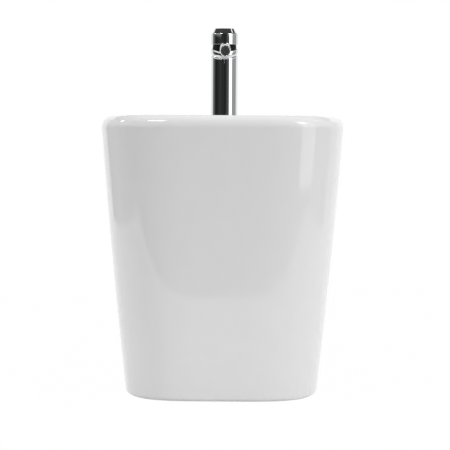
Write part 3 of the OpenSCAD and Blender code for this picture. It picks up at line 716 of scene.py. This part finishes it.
def nozzle():
    """Chrome retaining ring with a steep taper, and the dark ball whose flat face holds the aerator."""
    ring = rounded([(7.55, -6.1), (SPOUT_R, -6.1), (SPOUT_R, -2.6), (7.4, 0), (7.0, 0), (6.9, -2.3),
                    (7.55, -2.3)], 0.3, 6)
    bm = bmesh.new()
    turned(bm, [(r, z + SPOUT_REACH) for r, z in ring], SPOUT, 128)
    retainer = as_object("spout_end_ring", bm, [finishes["chrome"]], 30)
    outfit(retainer, "pan", "chrome", "nozzle_ring")

    middle = SPOUT_REACH - BALL_SET_BACK
    arc = span(math.asin(BALL_BACK / BALL_R), math.asin(BALL_FRONT / BALL_R), 24)
    ball = [(BALL_R * math.cos(t), middle + BALL_R * math.sin(t)) for t in arc]
    holder = [(4.9, middle + BALL_FRONT), (4.9, middle + 1), (3.6, middle + 1)]
    bm = bmesh.new()
    turned(bm, [(3.6, middle + BALL_BACK)] + ball + holder, SPOUT, 96)
    body = as_object("nozzle_ball_dark", bm, [finishes["dark_plastic"]], 30)
    outfit(body, "nozzle", "dark_plastic", "nozzle_ball")
    screen = aerator_screen(radius=4.8, pitch=0.62, wire=0.14)
    outfit(screen, "nozzle", "dark_plastic", "aerator_insert")


def weave(radius, pitch, wire):
    """Geometry nodes that lay two sets of wires across each other in a circle, the second 0.2 mm above."""
    tree = bpy.data.node_groups.new("aerator_screen", "GeometryNodeTree")
    for name, value in (("Radius", radius), ("Pitch", pitch), ("Wire radius", wire)):
        socket = tree.interface.new_socket(name, in_out="INPUT", socket_type="NodeSocketFloat")
        socket.default_value = value
    tree.interface.new_socket("Mesh", in_out="OUTPUT", socket_type="NodeSocketGeometry")
    given = tree.nodes.new("NodeGroupInput").outputs
    r, gap, thick = (given[name] for name in ("Radius", "Pitch", "Wire radius"))
    outermost = 0.96
    start = add(tree, "ShaderNodeCombineXYZ", X=maths(tree, "MULTIPLY", r, -outermost))
    step = add(tree, "ShaderNodeCombineXYZ", X=gap)
    many = maths(tree, "MULTIPLY", maths(tree, "DIVIDE", r, gap), 2 * outermost)
    line = add(tree, "GeometryNodeMeshLine", Count=many, Start_Location=start.outputs[0],
               Offset=step.outputs[0])
    place = add(tree, "GeometryNodeInputPosition")
    across = add(tree, "ShaderNodeSeparateXYZ", Vector=place.outputs[0]).outputs[0]
    room = maths(tree, "SUBTRACT", maths(tree, "MULTIPLY", r, r), maths(tree, "MULTIPLY", across, across))
    size = add(tree, "ShaderNodeCombineXYZ", X=thick, Y=thick, Z=maths(tree, "SQRT", room))
    rod = add(tree, "GeometryNodeMeshCylinder", Vertices=8, Radius=1.0, Depth=2.0)
    rods = add(tree, "GeometryNodeInstanceOnPoints", Points=line.outputs[0], Instance=rod.outputs["Mesh"],
               Rotation=(QUARTER, 0, 0), Scale=size.outputs[0])
    other = add(tree, "GeometryNodeTransform", Geometry=rods.outputs[0], Rotation=(0, 0, QUARTER),
                Translation=(0, 0, 0.2))
    both = add(tree, "GeometryNodeJoinGeometry")
    for wires in (rods, other):
        feed(tree, both.inputs[0], wires.outputs[0])
    real = add(tree, "GeometryNodeRealizeInstances", Geometry=both.outputs[0])
    made = add(tree, "GeometryNodeSetMaterial", Geometry=real.outputs[0], Material=finishes["dark_plastic"])
    feed(tree, tree.nodes.new("NodeGroupOutput").inputs[0], made.outputs[0])
    return tree


def aerator_screen(radius, pitch, wire):
    """Woven screen of the aerator, in its holder."""
    bm = bmesh.new()
    bm.verts.new((0, 0, 0))
    carrier = as_object("aerator_wires", bm, [finishes["dark_plastic"]])
    carrier.modifiers.new("weave", "NODES").node_group = weave(radius, pitch, wire)
    apply_modifiers(carrier)
    bm = bmesh.new()
    bm.from_mesh(carrier.data)
    bm.transform(SPOUT @ move(0, 0, SPOUT_REACH - 0.7))
    bpy.data.objects.remove(carrier)
    back, face, seat = SPOUT_REACH - 4.1, SPOUT_REACH - 0.3, SPOUT_REACH - 1.6
    holder = [(0, back), (4.85, back), (4.85, face), (4.5, face), (4.5, seat), (0, seat)]
    turned(bm, holder, SPOUT, 96, closed=False)
    return as_object("aerator_screen", bm, [finishes["dark_plastic"]], 30)


# ---------------------------------------------------------------- waste and trim


def thread(z, a):
    """How far the tail's thread cuts in, at height z and angle a."""
    phase = ((THREAD_TOP_Z - z) / THREAD_PITCH - a / FULL) % 1
    return THREAD_DEPTH * abs(2 * phase - 1)


def waste():
    """Chrome waste: domed flange, threaded tail with windows for the overflow, and the plug's guide bar."""
    seat = WASTE_SEAT_Z
    tail = [(WASTE_TOP_R if z > TAIL_TOP_Z else WASTE_TAIL_R, z, True)
            for z in span(THREAD_BOTTOM_Z, THREAD_TOP_Z, 271)]
    flange = rounded([(WASTE_TOP_R, seat + 1.2), (32.5, seat + 1.2), (32.5, seat + 2.2), (22, seat + 3.8),
                      (20, seat + 3.8), (20, seat - 2.5), (DRAIN_R, seat - 2.5)], 0.5, 4, closed=False)
    rows = [(DRAIN_R, 140, False), (20.2, 140, False)] + tail + [(WASTE_TOP_R, 221, False)]
    rows += [(r, z, False) for r, z in flange]
    loops = []
    for r, z, threaded in rows + rows[:1]:
        loops.append([WASTE @ around_axis(r - thread(z, a) if threaded else r, a, z) for a in circle(96)])
    bm = bmesh.new()
    skin(bm, loops, ends=False)
    body = as_object("waste_fitting", bm, [finishes["chrome"]], 30)
    cut(body, [block((-9, WASTE_Y + s * 20 - 10, seat - 40), (9, WASTE_Y + s * 20 + 10, seat - 22))
               for s in (-1, 1)])
    outfit(body, "pan", "chrome", "waste_body")
    for s, name in ((-1, "left"), (1, "right")):
        arm = block((s * 11.6 - 6, WASTE_Y - 3, seat - 36), (s * 11.6 + 6, WASTE_Y + 3, seat - 30))
        arm.name = "waste_bar_" + name
        arm.data.materials.append(finishes["chrome"])
        outfit(arm, "pan", "chrome")


def plug():
    """Domed chrome plug with a turned edge."""
    seat, dome_r = WASTE_SEAT_Z, 19.3
    under = [(0, seat), (2.5, seat), (2.5, seat - 2), (6, seat - 2), (6, seat - 1.3), (19.1, seat - 1.3)]
    edge = [(dome_r, seat - 1.1), (dome_r, seat + 1.3), (19.15, seat + 1.75), (18.8, seat + 2.0)]
    dome = [(r, seat + 3.9 - 2 * (r / dome_r) ** 2) for r in span(18.4, 0, 24)]
    bm = bmesh.new()
    turned(bm, under + edge + dome, WASTE, 128, closed=False)
    body = as_object("plug_dome", bm, [finishes["chrome"]], 40)
    outfit(body, "plug", "chrome", "plug_cap")


def overflow():
    """Turned trim ring in the overflow hole."""
    ring = rounded([(9.3, 12), (9.3, -2), (14, -2), (14, 0), (10.8, 0), (10.8, 12)], 0.7, 5)
    bm = bmesh.new()
    turned(bm, ring, OVERFLOW, 96)
    body = as_object("overflow_trim", bm, [finishes["chrome"]], 30)
    outfit(body, "pan", "chrome", "overflow_ring")


def side_caps():
    """Domed chrome caps over the side screws."""
    cap_r, edge_h, dome_h = 9.2, 0.9, 3.6
    under = [(0, 3.2), (5.6, 3.2), (6.2, 2.8), (6.2, 0), (cap_r, 0), (cap_r, edge_h)]
    dome = [(cap_r * math.sin(t), edge_h + dome_h * math.cos(t)) for t in span(QUARTER, 0, 20)[1:]]
    for side, name in ((-1, "left"), (1, "right")):
        bm = bmesh.new()
        turned(bm, under + dome, side_fixing(side), 96, closed=False)
        body = as_object("side_cover_" + name, bm, [finishes["chrome"]], 40)
        outfit(body, "pan", "chrome", "side_cap_" + name)


china_body()
waste_boss()
column()
spout()
neck()
cap()
nozzle()
waste()
plug()
overflow()
side_caps()


# ---------------------------------------------------------------- studio

# Paper on the floor and the panel behind the bidet, in millimetres
PAPER_X, PAPER_FRONT, PAPER_BACK = 1800, -1050, 2200
PANEL_X, PANEL_Y, PANEL_TOP = 592, 470, 750
# Share of the paper that shows as plain white where the eye or a polished face sees it
PAPER_WHITE = 0.99
LAMP_DISTANCE = 2.6

# Brightness of the walls by azimuth, low and higher up: 0 is the camera's side, and 90 the picture's right
LOW_WALLS = [(-180, 0.5), (-118, 0.45), (-110, 0.25), (-96, 0.12), (-84, 0.03), (-73, 0.015), (-55, 0.027),
             (-27, 0.047), (-21, 0.022), (-10, 0.034), (0, 0.02), (12, 0.023), (19, 0.05), (26, 0.1),
             (70, 0.1), (73, 0.4), (112, 0.36), (121, 0.38), (129, 0.9), (180, 0.9)]
HIGH_WALLS = [(-180, 0.8), (-92, 0.75), (-84, 0.03), (-70, 0.02), (24, 0.02), (30, 0.1), (68, 0.12),
              (74, 0.7), (180, 0.9)]
# Where the low walls turn into the high ones, and these into the ceiling, by the sine of the angle above
# the horizon
WALL_CHANGE, CEILING_CHANGE = (0.08, 0.2), (0.31, 0.41)
CEILING = (0.055, 0.055, 0.055, 1)
# A row of pale windows in the walls at both sides, by the same sine, and how far to the side it starts
PALE_ROW = [(0.08, 0), (0.13, 1), (0.41, 1), (0.47, 0)]
PALE_ROW_START = (0.4, 0.52)
PALE = (0.6, 0.6, 0.6, 1)
# Light that the sky gives to matt faces, from the horizon to straight above
SKY_LIGHT = (0.19, 1.08)


def paper():
    """White background paper: plain white to the eye and in polished metal, and it keeps a faint shadow."""
    material = bpy.data.materials.new("background_paper")
    tree = emptied(material)
    sheet = add(tree, "ShaderNodeBsdfDiffuse", Color=linear("#D8D8D8")).outputs[0]
    glow = add(tree, "ShaderNodeEmission", Color=WHITE, Strength=1.0).outputs[0]
    ray = add(tree, "ShaderNodeLightPath").outputs
    shiny = maths(tree, "MAXIMUM", ray["Is Camera Ray"], ray["Is Glossy Ray"])
    seen = maths(tree, "MAXIMUM", shiny, ray["Is Transmission Ray"])
    surface = mixed_shader(tree, maths(tree, "MULTIPLY", seen, PAPER_WHITE), sheet, glow)
    add(tree, "ShaderNodeOutputMaterial", Surface=surface)
    return material


def lit_panel():
    """Evenly lit white panel."""
    material = bpy.data.materials.new("lit_panel")
    tree = emptied(material)
    glow = add(tree, "ShaderNodeEmission", Color=WHITE, Strength=1.0)
    add(tree, "ShaderNodeOutputMaterial", Surface=glow.outputs[0])
    return material


def sheet_of(name, rows, material):
    """Flat stage piece between two rows of points."""
    bm = bmesh.new()
    skin(bm, rows, around=False, ends=False)
    sheet = as_object(name, bm, [material], 60)
    return sheet


def ramp(tree, value, levels):
    """Grey that passes through those levels, given as (value, level) pairs."""
    node = add(tree, "ShaderNodeValToRGB", Fac=value)
    stops = node.color_ramp.elements
    for place, _ in levels[1:-1]:
        stops.new(place)
    for stop, (place, level) in zip(stops, levels):
        stop.position, stop.color = place, (level, level, level, 1)
    return node.outputs[0]


def surroundings():
    """Studio round the bidet: white to the eye, and in polished faces dark ahead and lighter elsewhere."""
    world = bpy.data.worlds.new("studio")
    bpy.context.scene.world = world
    tree = emptied(world)
    towards = add(tree, "ShaderNodeTexCoord").outputs["Generated"]
    x, y, z = add(tree, "ShaderNodeSeparateXYZ", Vector=towards).outputs
    azimuth = maths(tree, "ARCTAN2", x, maths(tree, "MULTIPLY", y, -1))
    round_share = ranged(tree, azimuth, (-math.pi, math.pi))
    low, high = (ramp(tree, round_share, [((degrees + 180) / 360, level) for degrees, level in walls])
                 for walls in (LOW_WALLS, HIGH_WALLS))
    walls = mixed_colour(tree, ranged(tree, z, WALL_CHANGE), low, high)
    shell = mixed_colour(tree, ranged(tree, z, CEILING_CHANGE), walls, CEILING)
    beside = ranged(tree, maths(tree, "ABSOLUTE", x), PALE_ROW_START)
    room = mixed_colour(tree, maths(tree, "MULTIPLY", beside, ramp(tree, z, PALE_ROW)), shell, PALE)
    mirrored = add(tree, "ShaderNodeBackground", Color=room, Strength=1.0).outputs[0]
    sky = ranged(tree, z, (0, 1), SKY_LIGHT)
    soft = add(tree, "ShaderNodeBackground", Color=WHITE, Strength=sky).outputs[0]
    white = add(tree, "ShaderNodeBackground", Color=WHITE, Strength=1.0).outputs[0]
    ray = add(tree, "ShaderNodeLightPath").outputs
    lit = mixed_shader(tree, ray["Is Glossy Ray"], soft, mirrored)
    add(tree, "ShaderNodeOutputWorld", Surface=mixed_shader(tree, ray["Is Camera Ray"], lit, white))


def softbox(name, azimuth, elevation, width, height, strength, aim=(0, -0.1, 0.3)):
    """Area lamp whose face has that brightness. Its azimuth is counted as the walls' is."""
    az, el = math.radians(azimuth), math.radians(elevation)
    away = Vector((math.sin(az) * math.cos(el), -math.cos(az) * math.cos(el), math.sin(el)))
    spot = Vector(aim) + LAMP_DISTANCE * away
    lamp = bpy.data.lights.new(name, "AREA")
    lamp.shape, lamp.size, lamp.size_y = "RECTANGLE", width, height
    lamp.energy = strength * math.pi * width * height
    stand = bpy.data.objects.new(name, lamp)
    stand.location = spot
    stand.rotation_euler = (spot - Vector(aim)).to_track_quat("Z", "Y").to_euler()
    bpy.context.scene.collection.objects.link(stand)


def front_camera():
    """Long lens in front of the bidet, just below the rim. Its focal length is in pixels of the picture."""
    focal, picture, sensor = 2027.4, 450, 36
    pan, down, roll = 0.392, 2.491, 0.319
    camera = bpy.data.cameras.new("camera")
    camera.sensor_width, camera.lens = sensor, sensor * focal / picture
    stand = bpy.data.objects.new("camera", camera)
    bpy.context.scene.collection.objects.link(stand)
    stand.matrix_world = (move(0.0245, -3.07, 0.37) @ turn(math.radians(pan), "Z")
                          @ turn(math.radians(90 - down), "X") @ turn(math.radians(roll), "Z"))
    bpy.context.scene.camera = stand


# The paper keeps the shadow, and the panel, close behind the bidet, is there for polished faces alone
paper_corners = [[(x, y, 0) for y in (PAPER_FRONT, PAPER_BACK)] for x in (-PAPER_X, PAPER_X)]
sheet_of("paper_on_floor", paper_corners, paper())
panel_corners = [[(x, PANEL_Y, z) for z in (0, PANEL_TOP)] for x in (-PANEL_X, PANEL_X)]
panel = sheet_of("backdrop_panel", panel_corners, lit_panel())
panel.visible_camera = panel.visible_diffuse = panel.visible_shadow = False
surroundings()
softbox("key_right", 55.5, 12, 1.3, 2.2, 1.67, aim=(0, 0.165, 0.5))
softbox("fill_left", -70, 22, 2.6, 0.9, 0.35)
softbox("high_left_side", -106, 35, 0.4, 0.3, 14.0)
softbox("high_left_front", -37, 54, 0.7, 0.4, 13.0, aim=(-0.107, -0.25, 0.4))
softbox("high_right_front", 53, 41, 0.6, 0.6, 6.0)
softbox("high_right_side", 106, 45, 0.5, 0.4, 1.5)
front_camera()
bpy.context.scene.view_settings.view_transform = "Standard"
